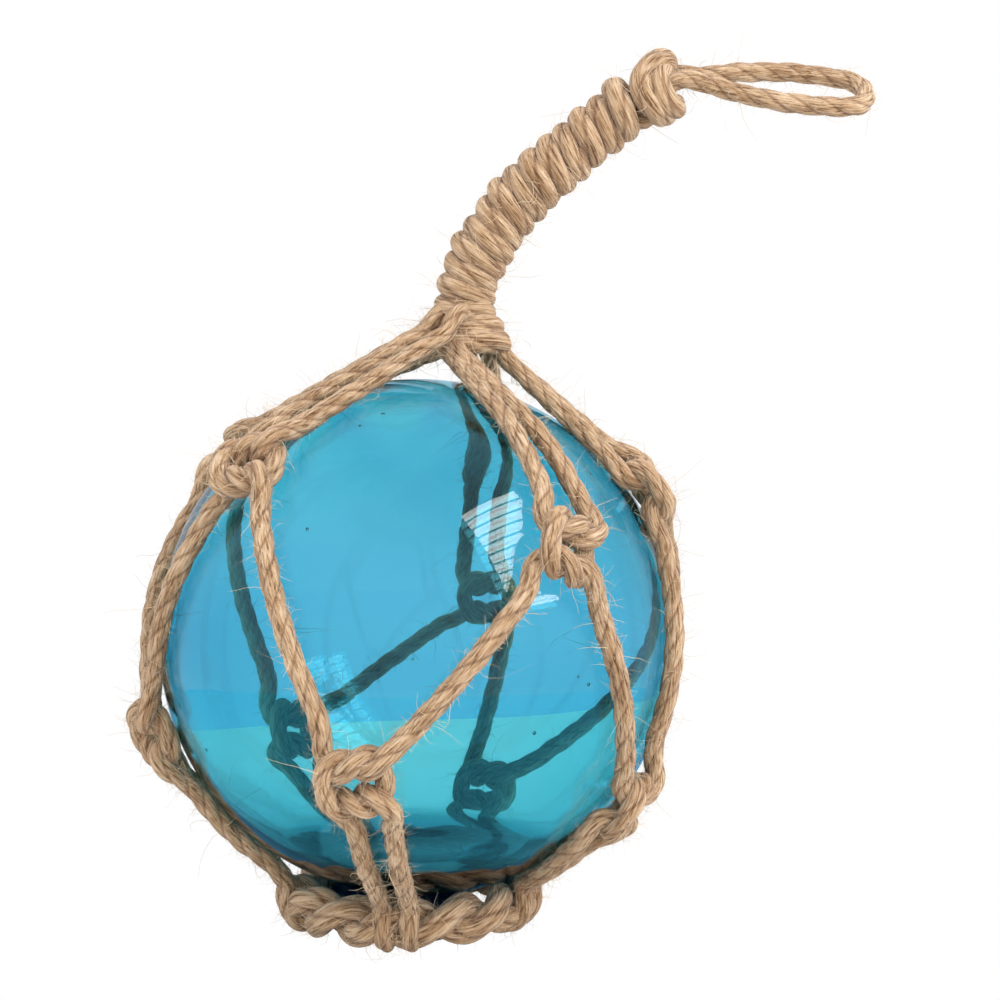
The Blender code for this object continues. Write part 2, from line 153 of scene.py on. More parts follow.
# Winding: the rope's turns, and how wide it is at places along the handle
SERVING_ROPE_RADIUS = 0.0031
SERVING_LAY_LENGTHS = 4.6
SERVING_TURNS = 16.0
SERVING_TURN_STEP = 0.012
SERVING_POINTS = 400
SERVING_START = 0.8
SERVING_SHORTFALL = 2.4
SERVING_CROWDING = 1.12
COLLAR_LENGTH = 0.0060
WINDING_START = 0.0116
WINDING_THICKEST = 0.6
WINDING_END = 0.0113
END_KNOT_START = 0.00595
SERVING_WIDTHS = (0.01968, 0.01763, 0.0158, 0.0166, 0.0154, 0.0185, 0.0195)

# Winding: how far its turns stray, and the first turn's bulge towards +X
SERVING_STRAY = 0.00055
SERVING_STRAY_TURNS = 0.31
SERVING_STRAY_SEED = 11
BULGE = 0.0022
BULGE_TURNS = 1.3
TURN_LEAN = 0.0007
TURN_LEAN_CHANGE = 0.0003
TURN_LEAN_TURNS = 1.3
TURN_LEAN_SEED = 12
TURN_LEAN_LEAST = 0.2
TURN_LEAN_PHASE = 0.55

# End knot, from the handle's end, as distances along it, over it and towards the front
END_KNOT_ROUTE = ((-0.0040, -0.0040, -0.0058), (0.0000, 0.0012, -0.0062), (0.0052, 0.0024, -0.0036),
                  (0.0066, 0.0042, 0.0000), (0.0040, 0.0052, 0.0030), (-0.0006, 0.0044, 0.0050),
                  (-0.0032, 0.0006, 0.0064), (-0.0026, -0.0042, 0.0056), (-0.0012, -0.0066, 0.0010),
                  (0.0010, -0.0044, -0.0048), (0.0034, 0.0004, -0.0050), (0.0048, 0.0026, -0.0014),
                  (0.0034, 0.0026, 0.0030), (0.0012, 0.0004, 0.0062), (0.0004, -0.0042, 0.0056),
                  (0.0020, -0.0068, 0.0022), (0.0028, -0.0048, -0.0020))
END_KNOT_CUT = 12

# Hanging eye, and its half width at shares of its length
EYE_ROPE_RADIUS = 0.00245
EYE_START = 0.006
EYE_THROAT_LENGTH = 0.012
EYE_LENGTH = 0.0407
EYE_WIDTH = 0.0160
EYE_DROOP = 0.0038
EYE_TILT = 55.0
EYE_SHAPE = ((0.22, 0.66), (0.5, 1.0), (0.75, 1.0), (0.95, 0.76))
THROAT_TILT = 66.0
THROAT_SHARE = 0.92
THROAT_START_SHARE = 0.8

# Laid rope
STRANDS = 3
STRAND_RADIUS = 0.74
STRAND_STRAY = 0.05
STRAND_STRAY_LENGTH = 0.004
ROPE_SIDES = 24
ROPE_STEP = 0.0006
ROPE_SMOOTHING = 12
LAY_LENGTHS = 4.2
END_ROUNDING = 0.002
# Strand height over which the painted shade in the grooves between strands fades out
CREST_START = 0.80
CREST_SPAN = 0.20
FIBRE_SHIFT = 0.37
RING_SEED = 21
SERVING_SEED = 22
EYE_SEED = 23

# Loose fibres: how many a metre, shortest, longest, width, segments, curl and seed
NET_FUZZ = (8500, 0.0008, 0.0046, 0.00009, 4, 0.3, 31)
REST_FUZZ = (7000, 0.0008, 0.0034, 0.00009, 4, 0.3, 32)
WHISKERS = (800, 0.004, 0.014, 0.00011, 10, 0.33, 33)
HAIR_ROOT = 0.85
HAIR_ALONG = (0.3, 1.0)
HAIR_OUTWARDS = (0.15, 0.9)
HAIR_SPREAD = 0.25
HAIR_WANDER = 0.16
HAIR_TIP = 0.35

# Jute: ramps of position and colour, and noises of scale, detail and roughness
WHITE = (1.0, 1.0, 1.0)
STREAKS = ((0.34, (0.17, 0.080, 0.030)), (0.47, (0.57, 0.385, 0.225)), (0.66, (0.82, 0.63, 0.46)))
BROAD_STREAKS = ((0.32, (0.58, 0.47, 0.37)), (0.60, WHITE))
# Painted shade: the grooves between the strands darkened towards brown
GROOVE_PAINTED_SHADE = ((0.0, (0.36, 0.22, 0.12)), (0.55, WHITE))
PATCHES = ((0.35, (0.86, 0.80, 0.74)), (0.65, WHITE))
FINE_NOISE = (2100.0, 3.5, 0.65)
BROAD_NOISE = (760.0, 2.0, 0.5)
PATCH_NOISE = (90.0, 2.0, 0.5)
FIBRE_STRETCH = (1.0, 1.0, 0.13)
BROAD_SHARE = 0.85
BUMP_DISTANCE = 0.0009

# Surfaces
JUTE_SHADER = {"Roughness": 0.88, "Specular IOR Level": 0.25, "Sheen Weight": 0.25,
               "Sheen Roughness": 0.5}
FIBRE_SHADER = {"Base Color": (0.72, 0.56, 0.38, 1.0), "Roughness": 0.6,
                "Specular IOR Level": 0.4}
GLASS_SHADER = {"Base Color": (1.0, 1.0, 1.0, 1.0), "Roughness": 0.0, "IOR": 1.5,
                "Transmission Weight": 1.0}
GLASS_DEPTH = {"Color": (0.24, 0.80, 0.87, 1.0), "Density": 830.0}
PAPER_SHADER = {"Roughness": 0.9}
WINDOW_SHADER = {"Base Color": (0.0, 0.0, 0.0, 1.0), "Emission Color": (1.0, 0.98, 0.95, 1.0),
                 "Emission Strength": 8.0}

# Table: its size, and its colours in reflections and everywhere else
TABLE_RADIUS = 0.27
TABLE_SEGMENTS = 128
TABLE_MIRRORED = (0.07, 0.34, 0.58)
TABLE_PLAIN = (0.78, 0.75, 0.71)

# Surround: in reflections, through the glass by height, as soft light, and behind it all
ROOM_MIRRORED = (0.52, 0.62, 0.72)
ROOM_THROUGH = ((0.455, (0.66, 0.83, 1.03)), (0.53, (1.09, 1.15, 1.15)))
ROOM_SOFT = (1.20, 1.19, 1.17)

# Fill light
FILL_PLACE = (-0.9, -0.6, 0.9)
FILL_SIZE = 0.7
FILL_POWER = 3.0

# Window light, as a direction from the ball and sizes
WINDOW_DIRECTION = (0.695, -0.451, 0.64)
WINDOW_DISTANCE = 0.9
WINDOW_WIDTH = 0.46
WINDOW_HEIGHT = 0.72
WINDOW_SLATS = 11
SLAT_SHARE = 0.8

# Camera
CAMERA_FROM_BALL = (0.02037, -0.47489, 0.06683)
CAMERA_PITCH = 4.0
CAMERA_LENS = 69.32
SENSOR_WIDTH = 36.0

# Curves
CURVE_STEPS = 10
LEAST_LENGTH = 1e-12
LEAST_DISTANCE = 1e-9

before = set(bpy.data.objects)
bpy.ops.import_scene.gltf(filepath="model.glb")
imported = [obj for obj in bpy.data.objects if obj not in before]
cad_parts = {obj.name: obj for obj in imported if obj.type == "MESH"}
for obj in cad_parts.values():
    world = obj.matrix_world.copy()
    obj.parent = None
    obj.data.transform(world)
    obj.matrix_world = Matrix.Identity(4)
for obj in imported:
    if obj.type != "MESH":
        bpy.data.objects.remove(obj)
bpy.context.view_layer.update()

# Sizes read from the solids
GLASS_LOW, GLASS_HIGH = (np.array(corner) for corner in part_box("glass_ball"))
BALL_RADIUS = (GLASS_HIGH[0] - GLASS_LOW[0]) / 2
BALL_CENTRE = np.array([(GLASS_LOW[0] + GLASS_HIGH[0]) / 2, 0.0, GLASS_HIGH[2] - BALL_RADIUS])

# Sizes that follow
KNOT_UNIT = CORD_DIAMETER * KNOT_SQUEEZE
RING_LAY = (RING_CORD_DIAMETER + 2 * GAP) / 2
RING_BUNDLE_RADIUS = RING_LAY + RING_CORD_DIAMETER / 2
LIE_RADIUS = BALL_RADIUS + NET_ROPE_RADIUS


def unit(vector):
    """The vector at length one."""
    return vector / np.linalg.norm(vector)


def units(vectors):
    """Each row at length one."""
    return vectors / np.maximum(np.linalg.norm(vectors, axis=-1, keepdims=True), LEAST_LENGTH)


def path_lengths(points):
    """Distance along a path to each of its points."""
    steps = np.linalg.norm(np.diff(points, axis=0), axis=1)
    return np.concatenate([[0.0], np.cumsum(steps)])


def resample(points, count):
    """The same path, as evenly spaced points."""
    along = path_lengths(points)
    wanted = np.linspace(0.0, along[-1], count)
    return np.stack([np.interp(wanted, along, points[:, k]) for k in range(3)], axis=1)


def smooth_curve(controls, per_span=CURVE_STEPS, start_along=None):
    """A smooth curve through a few given points, and from a direction if one is given."""
    points = np.array(controls, dtype=float)
    before_start = 2 * points[0] - points[1]
    if start_along is not None:
        before_start = points[1] - 2 * start_along * np.linalg.norm(points[1] - points[0])
    points = np.vstack([before_start, points, 2 * points[-1] - points[-2]])
    curve = []
    for k in range(1, len(points) - 2):
        before, start, end, after = points[k - 1:k + 3]
        for t in np.linspace(0.0, 1.0, per_span, endpoint=False):
            curve.append(0.5 * (2 * start + (end - before) * t
                                + (2 * before - 5 * start + 4 * end - after) * t ** 2
                                + (3 * start - before - 3 * end + after) * t ** 3))
    curve.append(points[-2])
    return np.array(curve)


def path_frames(points, closed=False):
    """Two directions across a path at each point, carried along it without twist."""
    if closed:
        tangents = np.roll(points, -1, axis=0) - np.roll(points, 1, axis=0)
    else:
        tangents = np.gradient(points, axis=0)
    tangents = units(tangents)
    spare = np.eye(3)[np.argmin(np.abs(tangents[0]))]
    side = unit(np.cross(tangents[0], spare))
    sides = []
    for tangent in tangents:
        side = unit(side - tangent * np.dot(side, tangent))
        sides.append(side)
    sides = np.array(sides)
    return sides, np.cross(tangents, sides)


def direction(azimuth, latitude):
    """The unit vector at an azimuth from the front towards +X and a latitude, in degrees."""
    turn, rise = math.radians(azimuth), math.radians(latitude)
    return np.array([math.sin(turn) * math.cos(rise), -math.cos(turn) * math.cos(rise),
                     math.sin(rise)])


def leaning_axis(lean):
    """The unit vector that leans from straight up towards +X, in degrees."""
    return np.array([math.sin(math.radians(lean)), 0.0, math.cos(math.radians(lean))])


def wander(along, wavelength, seed):
    """A smooth random value between about -1 and 1 that changes along a length."""
    spread = along / wavelength
    values = np.random.default_rng(seed).uniform(-1.0, 1.0, int(spread.max()) + 3)
    index = spread.astype(int)
    share = spread - index
    share = share * share * (3 - 2 * share)
    return values[index] * (1 - share) + values[index + 1] * share


def ring_frame():
    """Centre of the base ring, its axis, and its directions at azimuth 0 and 90 degrees."""
    axis = leaning_axis(RING_LEAN)
    reach = BALL_RADIUS + GAP + RING_BUNDLE_RADIUS + RING_SLACK
    centre = BALL_CENTRE - leaning_axis(RING_SET_ASIDE) * math.sqrt(reach ** 2 - RING_RADIUS ** 2)
    front = np.array([0.0, -1.0, 0.0])
    return centre, axis, front, np.cross(-front, axis)


def ring_point(azimuth):
    """A point on the middle line of the base ring."""
    centre, _, front, right = ring_frame()
    turn = math.radians(azimuth)
    return centre + RING_RADIUS * (front * math.cos(turn) + right * math.sin(turn))


def ring_route():
    """The rope laid twice round the seal, its two rounds twisted about each other."""
    centre, axis, front, right = ring_frame()
    turn = np.linspace(0.0, 4 * math.pi, RING_POINTS, endpoint=False)
    lay = RING_HALF_TWISTS * turn / 2 + RING_LAY_START
    radial = np.outer(np.cos(turn), front) + np.outer(np.sin(turn), right)
    out = RING_RADIUS + RING_LAY * np.cos(lay)
    return centre + radial * out[:, None] + np.outer(RING_LAY * np.sin(lay), axis)


def loose_knot():
    """Two ropes in a loose reef knot, in rope diameters: the first lies open to the left."""
    curve = smooth_curve(list(LOOSE_HALF) + [(u, -v, w) for u, v, w in LOOSE_HALF[-2::-1]])
    count = int(path_lengths(curve)[-1] / KNOT_POINT_STEP) + 1
    left = resample(curve, count)[::-1]
    right = left * np.array([-1.0, 1.0, -1.0])
    return np.stack([left, right])


def tighten(ropes, ends, rounds):
    """Pull two ropes tight between their ends while they keep off each other and the ball.

    Lengths are in diameters of the squeezed rope. The ropes run from their lower ends to
    their upper ends, and w, the third axis, points away from the ball.
    """
    count = ropes.shape[1]
    apart = KNOT_SPACING + GAP / KNOT_UNIT
    order = np.arange(count)
    own = np.abs(order[:, None] - order[None, :]) > KNOT_SELF_CONTACT / KNOT_POINT_STEP
    other = np.ones((count, count), dtype=bool)
    meets = np.block([[own, other], [other, own]])
    ropes = ropes.copy()
    for _ in range(rounds):
        for _ in range(CONTACT_PASSES):
            ropes[:, 0] += (ends[:, 0] - ropes[:, 0]) * KNOT_END_PULL
            ropes[:, -1] += (ends[:, 1] - ropes[:, -1]) * KNOT_END_PULL
            points = ropes.reshape(-1, 3)
            between = points[:, None] - points[None, :]
            distance = np.linalg.norm(between, axis=2) + LEAST_DISTANCE
            push = np.where(meets & (distance < apart),
                            (apart - distance) / distance * KNOT_PUSH_SHARE, 0.0)
            shift = (between * push[..., None]).sum(axis=1)
            points = points + np.clip(shift, -KNOT_PUSH_LIMIT, KNOT_PUSH_LIMIT)
            points[:, 2] = np.maximum(points[:, 2], -KNOT_DEPTH)
            ropes = points.reshape(2, count, 3)
        middle = (ropes[:, :-2] + ropes[:, 2:]) / 2 - ropes[:, 1:-1]
        ropes[:, 1:-1] += KNOT_SMOOTHING * middle
        ropes = np.stack([resample(rope, count) for rope in ropes])
    return ropes


def knot_frame(knot):
    """Directions to the right, upwards and away from the ball at a knot."""
    azimuth, latitude, roll = knot
    away = direction(azimuth, latitude)
    turn = math.radians(azimuth)
    east = np.array([math.cos(turn), math.sin(turn), 0.0])
    north = np.cross(away, east)
    lean = math.radians(roll)
    right = east * math.cos(lean) + north * math.sin(lean)
    return right, np.cross(away, right), away


def heading(knot, target):
    """Direction from a knot to a point over the ball, in degrees from straight up to the right."""
    right, upward, away = knot_frame(knot)
    to_target = unit(target - BALL_CENTRE) - away
    return math.degrees(math.atan2(np.dot(to_target, right), np.dot(to_target, upward)))


def knot_ends(knot, targets):
    """End points of the two ropes of a knot, kept at least the pair's spread from its axis."""
    lower_left, upper_left, lower_right, upper_right = [heading(knot, t) for t in targets]
    above, below = 90.0 - SIDE_MARGIN, 90.0 + SIDE_MARGIN
    angles = ((np.clip(lower_left % 360.0 - 360.0, -180.0 + PAIR_SPREAD, -below),
               np.clip((upper_left + 180.0) % 360.0 - 180.0, -above, -PAIR_SPREAD)),
              (np.clip(lower_right % 360.0, below, 180.0 - PAIR_SPREAD),
               np.clip((upper_right + 180.0) % 360.0 - 180.0, PAIR_SPREAD, above)))
    turn = np.radians(angles)
    return np.stack([KNOT_REACH * np.sin(turn), KNOT_REACH * np.cos(turn),
                     np.full((2, 2), -KNOT_END_DEPTH)], axis=-1)


def place_knot(knot, ropes):
    """Move knotted ropes from their own frame onto the ball, bent to its curve."""
    right, upward, away = knot_frame(knot)
    middle = BALL_RADIUS + GAP + KNOT_UNIT * (0.5 + KNOT_DEPTH)
    local = ropes * KNOT_UNIT * np.array([1.0, KNOT_HEIGHT_SHARE, 1.0])
    across = (local[..., 0] ** 2 + local[..., 1] ** 2) / (2 * middle)
    height = middle + local[..., 2] - across
    return (BALL_CENTRE + local[..., 0:1] * right + local[..., 1:2] * upward
            + height[..., None] * away)


def lying_run(start, end):
    """Points between two ends, on the shortest way over the ball, without the ends."""
    first, last = start - BALL_CENTRE, end - BALL_CENTRE
    angle = math.acos(np.clip(np.dot(unit(first), unit(last)), -1.0, 1.0))
    spans = max(2, int(round(angle * LIE_RADIUS / LYING_STEP)))
    t = (np.arange(1, spans) / spans)[:, None]
    toward = unit(first) * np.sin((1 - t) * angle) + unit(last) * np.sin(t * angle)
    return BALL_CENTRE + toward / math.sin(angle) * LIE_RADIUS


def taut_run(start, end):
    """Points between two ends on a rope pulled taut over the ball, without the start."""
    points = np.vstack([start, lying_run(start, end), end])
    for _ in range(TAUT_ROUNDS):
        points[1:-1] = (points[:-2] + points[2:]) / 2
        away = points[1:-1] - BALL_CENTRE
        reach = np.linalg.norm(away, axis=1, keepdims=True)
        points[1:-1] = BALL_CENTRE + away * np.maximum(LIE_RADIUS / reach, 1.0)
    return points[1:]


def uppers_in_order():
    """The upper knots in the order of their azimuth from the front."""
    return sorted(UPPER_KNOTS, key=lambda knot: knot[0] % 360.0)


def neck_slots():
    """Where the ten cords end under the handle, two side by side for each upper knot."""
    axis = leaning_axis(NECK_LEAN)
    front = np.array([0.0, -1.0, 0.0])
    right = np.cross(-front, axis)
    gathered = CORD_DIAMETER * NECK_SQUEEZE
    count = 2 * len(UPPER_KNOTS)
    reach = (gathered + 2 * GAP) / (2 * math.sin(math.pi / count))
    height = BALL_RADIUS + GAP + gathered / 2 + NECK_LIFT + HEAD_LIFT
    share = 360.0 / len(UPPER_KNOTS)
    first = np.mean([knot[0] % 360.0 - share * k for k, knot in enumerate(uppers_in_order())])
    slots = {}
    for k, knot in enumerate(uppers_in_order()):
        for side in (-1, 1):
            lead = NECK_LEAD if knot == UPPER_KNOTS[0] else 0.0
            turn = math.radians(first + share * (k + side / 4) - lead)
            spoke = front * math.cos(turn) + right * math.sin(turn)
            slots[UPPER_KNOTS.index(knot), side] = BALL_CENTRE + axis * height + spoke * reach
    return slots


def ring_hitch(azimuth, side):
    """A cord's lower end beside its pair: from inside the base ring, under it and round it."""
    centre, axis, _, _ = ring_frame()
    spread = math.degrees(NET_ROPE_RADIUS * HITCH_SPREAD / RING_RADIUS)
    middle = ring_point(azimuth + side * spread)
    out = unit(middle - centre)
    points = []
    for turn, reach in HITCH:
        turn = math.radians(turn)
        points.append(middle + (out * math.cos(turn) + axis * math.sin(turn)) * reach)
    points = smooth_curve(points)
    points[:, 2] = np.maximum(points[:, 2], NET_ROPE_RADIUS)
    return points


def net_routes():
    """The routes of the ten net cords, with the rope's radius at each point."""
    count = len(LOWER_KNOTS)
    share = 360.0 / count
    slots = neck_slots()
    both_ways = (-FIRST_KNOT_CORNER, FIRST_KNOT_CORNER)
    corners = [BALL_CENTRE + direction(turn, rise) for turn in both_ways for rise in both_ways]
    base = tighten(loose_knot(), knot_ends((0.0, 0.0, 0.0), corners), FIRST_TIGHTENING)
    lower, upper = [], []
    for k, knot in enumerate(LOWER_KNOTS):
        ring_azimuth = RING_FIRST_AZIMUTH + share * k
        targets = [ring_point(ring_azimuth), BALL_CENTRE + direction(*UPPER_KNOTS[k - 1][:2]),
                   ring_point(ring_azimuth), BALL_CENTRE + direction(*UPPER_KNOTS[k][:2])]
        lower.append(place_knot(knot, tighten(base, knot_ends(knot, targets), LAST_TIGHTENING)))
    for k, knot in enumerate(UPPER_KNOTS):
        following = LOWER_KNOTS[(k + 1) % count]
        targets = [BALL_CENTRE + direction(*LOWER_KNOTS[k][:2]), slots[k, -1],
                   BALL_CENTRE + direction(*following[:2]), slots[k, 1]]
        upper.append(place_knot(knot, tighten(base, knot_ends(knot, targets), LAST_TIGHTENING)))
    routes = {}
    for k in range(count):
        for side, index, crossing in ((-1, 0, (k - 1) % count), (1, 1, k)):
            word = "left" if side < 0 else "right"
            foot = ring_hitch(RING_FIRST_AZIMUTH + share * k, side)
            routes[f"net_cord_{k + 1}_{word}"] = cord_route(
                foot, lower[k][index], upper[crossing][1 - index], slots[crossing, -side],
                (crossing, -side) in RISING_CORDS)
    return routes


def cord_route(foot, first, second, head, rises):
    """One net cord: from the ring, through a lower and an upper knot, into the handle."""
    loose = NET_ROPE_RADIUS
    gathered = NET_ROPE_RADIUS * NECK_SWELL
    knotted = KNOT_UNIT / 2
    axis = leaning_axis(NECK_LEAN)
    core = BALL_CENTRE + axis * np.dot(head - BALL_CENTRE, axis)
    inside = head + (core - head) * TUCK_IN + axis * TUCK_UP
    tail = np.array([head, inside])
    if rises:
        spoke = unit(head - core)
        beside = [head + spoke * outwards + axis * upwards for outwards, upwards in RISING_WAY]
        tail = smooth_curve(beside)
        head = beside[0]
    sections = [(foot, loose, loose),
                (lying_run(foot[-1], first[0])[1:], loose, loose),
                (first, knotted, knotted),
                (lying_run(first[-1], second[0]), loose, loose),
                (second, knotted, knotted),
                (taut_run(second[-1], head), loose, gathered),
                (tail, gathered, gathered)]
    points = np.vstack([section for section, _, _ in sections])
    radii = np.concatenate([np.linspace(start, end, len(section))
                            for section, start, end in sections])
    return points, radii


def even_route(points, radii, closed=False):
    """A route smoothed and cut into even steps, with its radii eased the same way."""
    if closed:
        points = np.vstack([points, points[:1]])
        radii = np.append(radii, radii[0])
    along = path_lengths(points)
    count = int(along[-1] / ROPE_STEP)
    wanted = np.linspace(0.0, along[-1], count, endpoint=not closed)
    fine = np.stack([np.interp(wanted, along, points[:, k]) for k in range(3)], axis=1)
    thick = np.interp(wanted, along, radii)
    for _ in range(ROPE_SMOOTHING):
        if closed:
            fine = (np.roll(fine, 1, axis=0) + fine + np.roll(fine, -1, axis=0)) / 3
        else:
            fine[1:-1] = (fine[:-2] + fine[1:-1] + fine[2:]) / 3
            thick[1:-1] = (thick[:-2] + thick[1:-1] + thick[2:]) / 3
    return fine, thick


def handle_path():
    """The middle line of the handle, from the neck to its far end."""
    gathered = CORD_DIAMETER * NECK_SQUEEZE
    axis = leaning_axis(NECK_LEAN)
    neck = BALL_CENTRE + axis * (BALL_RADIUS + gathered + NECK_LIFT + 3 * GAP)
    route = [neck + np.array([x, 0.0, z]) for x, z in HANDLE_ROUTE]
    return smooth_curve(route, per_span=HANDLE_STEPS, start_along=axis)


def serving_route():
    """The winding's rope: turn by turn along the handle, with a thick first and last turn."""
    curve = handle_path()
    length = path_lengths(curve)[-1]
    points = resample(curve, SERVING_POINTS)
    across, upward = path_frames(points)
    right = math.atan2(upward[0][0], across[0][0])
    rope = SERVING_ROPE_RADIUS
    turns = np.arange(0.0, SERVING_TURNS, SERVING_TURN_STEP)
    turn = -2 * math.pi * turns + right
    reach = length - rope * SERVING_SHORTFALL
    along = rope * SERVING_START + reach * (turns / turns[-1]) ** SERVING_CROWDING
    place = (0.0, COLLAR_LENGTH, WINDING_START, length * WINDING_THICKEST,
             length - WINDING_END, length - END_KNOT_START, length)
    radius = np.interp(along, place, SERVING_WIDTHS) / 2 - rope
    radius = radius + SERVING_STRAY * wander(turns, SERVING_STRAY_TURNS, SERVING_STRAY_SEED)
    bulge = np.clip(np.cos(turn - right), 0, 1) * np.clip(BULGE_TURNS - turns, 0, 1)
    radius = radius + BULGE * bulge
    lean = TURN_LEAN + TURN_LEAN_CHANGE * wander(turns, TURN_LEAN_TURNS, TURN_LEAN_SEED)
    lean = lean * np.clip(along / length * 2, TURN_LEAN_LEAST, 1.0)
    tilt = lean * np.cos(turn - right - math.pi * TURN_LEAN_PHASE)
    where = np.clip((along + tilt) / length, 0.0, 1.0) * (len(points) - 1)
    lookup = np.arange(len(points))
    centre, side, up = [np.stack([np.interp(where, lookup, each[:, k]) for k in range(3)], axis=1)
                        for each in (points, across, upward)]
    spoke = side * np.cos(turn)[:, None] + up * np.sin(turn)[:, None]
    route = centre + spoke * radius[:, None]
    onward = unit(curve[-1] - curve[-3])
    near = np.array([0.0, -1.0, 0.0])
    over = np.cross(near, onward)
    knot = [curve[-1] + onward * a + over * b + near * c for a, b, c in END_KNOT_ROUTE]
    route = np.vstack([route[:-END_KNOT_CUT], smooth_curve([route[-END_KNOT_CUT]] + knot)])
    return route, np.full(len(route), rope)


def across_eye(forward, tilt):
    """The direction from the middle of the eye to its nearer side, square to its length."""
    sideways = np.array([0.0, -1.0, 0.0])
    tilt = math.radians(tilt)
    return unit(np.cross(sideways, forward)) * -math.cos(tilt) + sideways * math.sin(tilt)


def eye_route():
    """The hanging eye: a rope that leaves the handle's end, turns and goes back into it."""
    curve = handle_path()
    onward = unit(curve[-1] - curve[-3])
    ahead = unit(np.array([1.0, 0.0, -EYE_DROOP / EYE_LENGTH]))
    start = curve[-1] + onward * GAP
    throat = start + (onward + ahead) * EYE_THROAT_LENGTH / 2
    beside = EYE_ROPE_RADIUS * THROAT_SHARE
    throat_line = [(start - onward * EYE_START, onward, beside * THROAT_START_SHARE),
                   (start, onward, beside),
                   (start + onward * EYE_THROAT_LENGTH / 2, onward, beside),
                   (throat, ahead, beside)]
    line = [(centre, across_eye(forward, THROAT_TILT) * width)
            for centre, forward, width in throat_line]
    line += [(throat + ahead * EYE_LENGTH * share, across_eye(ahead, EYE_TILT) * EYE_WIDTH / 2 * width)
             for share, width in EYE_SHAPE]
    near = [centre + offset for centre, offset in line]
    far = [centre - offset for centre, offset in line]
    route = smooth_curve(near + [throat + ahead * EYE_LENGTH] + far[::-1])
    return route, np.full(len(route), EYE_ROPE_RADIUS)


def strand_section(angles):
    """Radius of a three-strand rope at angles from a strand's middle, as a share of its own."""
    sector = 2 * math.pi / STRANDS
    off = (angles + sector / 2) % sector - sector / 2
    middle = 1.0 - STRAND_RADIUS
    return middle * np.cos(off) + np.sqrt(STRAND_RADIUS ** 2 - (middle * np.sin(off)) ** 2)


def new_mesh(name, vertices, faces):
    """A mesh object, smooth shaded."""
    mesh = bpy.data.meshes.new(name)
    mesh.vertices.add(len(vertices))
    mesh.vertices.foreach_set("co", np.asarray(vertices, dtype=np.float32).ravel())
    faces = np.asarray(faces, dtype=np.int32)
    corners = faces.shape[1]
    mesh.loops.add(faces.size)
    mesh.loops.foreach_set("vertex_index", faces.ravel())
    mesh.polygons.add(len(faces))
    mesh.polygons.foreach_set("loop_start", np.arange(0, faces.size, corners, dtype=np.int32))
    mesh.update(calc_edges=True)
    mesh.validate()
    mesh.shade_smooth()
    thing = bpy.data.objects.new(name, mesh)
    bpy.context.scene.collection.objects.link(thing)
    return thing


def add_values(thing, name, values):
    """Store one number or one vector for each vertex under a name for the material."""
    values = np.asarray(values, dtype=np.float32)
    if values.ndim == 1:
        thing.data.attributes.new(name, "FLOAT", "POINT").data.foreach_set("value", values)
    else:
        layer = thing.data.attributes.new(name, "FLOAT_VECTOR", "POINT")
        layer.data.foreach_set("vector", values.ravel())


def make_rope(name, points, radii, seed, closed=False, lay_lengths=LAY_LENGTHS):
    """A three-strand rope's skin along a route, and what its fibres grow from."""
    points, radii = even_route(points, radii, closed)
    across, upward = path_frames(points, closed)
    count = len(points)
    along = path_lengths(points)
    lay = lay_lengths * 2 * radii.mean()
    twist = 2 * math.pi * along / lay
    if closed:
        whole = along[-1] + np.linalg.norm(points[0] - points[-1])
        drift = math.atan2(np.dot(across[0], upward[-1]), np.dot(across[0], across[-1]))
        rounds = round(whole / lay)
        twist = (2 * math.pi * rounds + drift) * along / whole
    angles = 2 * math.pi * np.arange(ROPE_SIDES) / ROPE_SIDES
    around = angles[None, :] + twist[:, None]
    section = np.repeat(strand_section(angles)[None, :], count, axis=0)
    for strand in range(STRANDS):
        off = np.abs((angles - strand * 2 * math.pi / STRANDS + math.pi) % (2 * math.pi) - math.pi)
        share = np.clip(1 - off / (math.pi / STRANDS), 0, 1)
        stray = wander(along, STRAND_STRAY_LENGTH, seed * STRANDS + strand)
        section = section + STRAND_STRAY * np.outer(stray, share)
    spokes = (across[:, None] * np.cos(around)[..., None]
              + upward[:, None] * np.sin(around)[..., None])
    if not closed:
        from_end = np.minimum(along, along[-1] - along) / radii
        radii = radii * np.sqrt(np.clip(1 - np.clip(1 - from_end, 0, 1) ** 2, END_ROUNDING, 1))
    reach = radii[:, None] * section
    vertices = points[:, None] + spokes * reach[..., None]
    here = np.arange(count * ROPE_SIDES).reshape(count, ROPE_SIDES)
    step = np.roll(here, -1, axis=1)
    if closed:
        there, there_step = np.roll(here, -1, axis=0), np.roll(step, -1, axis=0)
        faces = np.stack([here, step, there_step, there], axis=-1).reshape(-1, 4)
    else:
        faces = np.stack([here[:-1], step[:-1], step[1:], here[1:]], axis=-1).reshape(-1, 4)
    rope = new_mesh(name, vertices.reshape(-1, 3), faces)
    # Strand height, the mask for the painted shade in the grooves between strands
    groove_shade_mask = np.clip((section - CREST_START) / CREST_SPAN, 0, 1)
    fibre = np.stack([np.cos(around) * radii[:, None], np.sin(around) * radii[:, None],
                      np.repeat(along[:, None], ROPE_SIDES, axis=1)], axis=-1)
    add_values(rope, "groove_shade_mask", groove_shade_mask.ravel())
    add_values(rope, "fibre", fibre.reshape(-1, 3) + seed * FIBRE_SHIFT)
    rope.data.materials.append(bpy.data.materials["laid_jute"])
    return rope, (points, units(np.gradient(points, axis=0)), across, upward, radii)


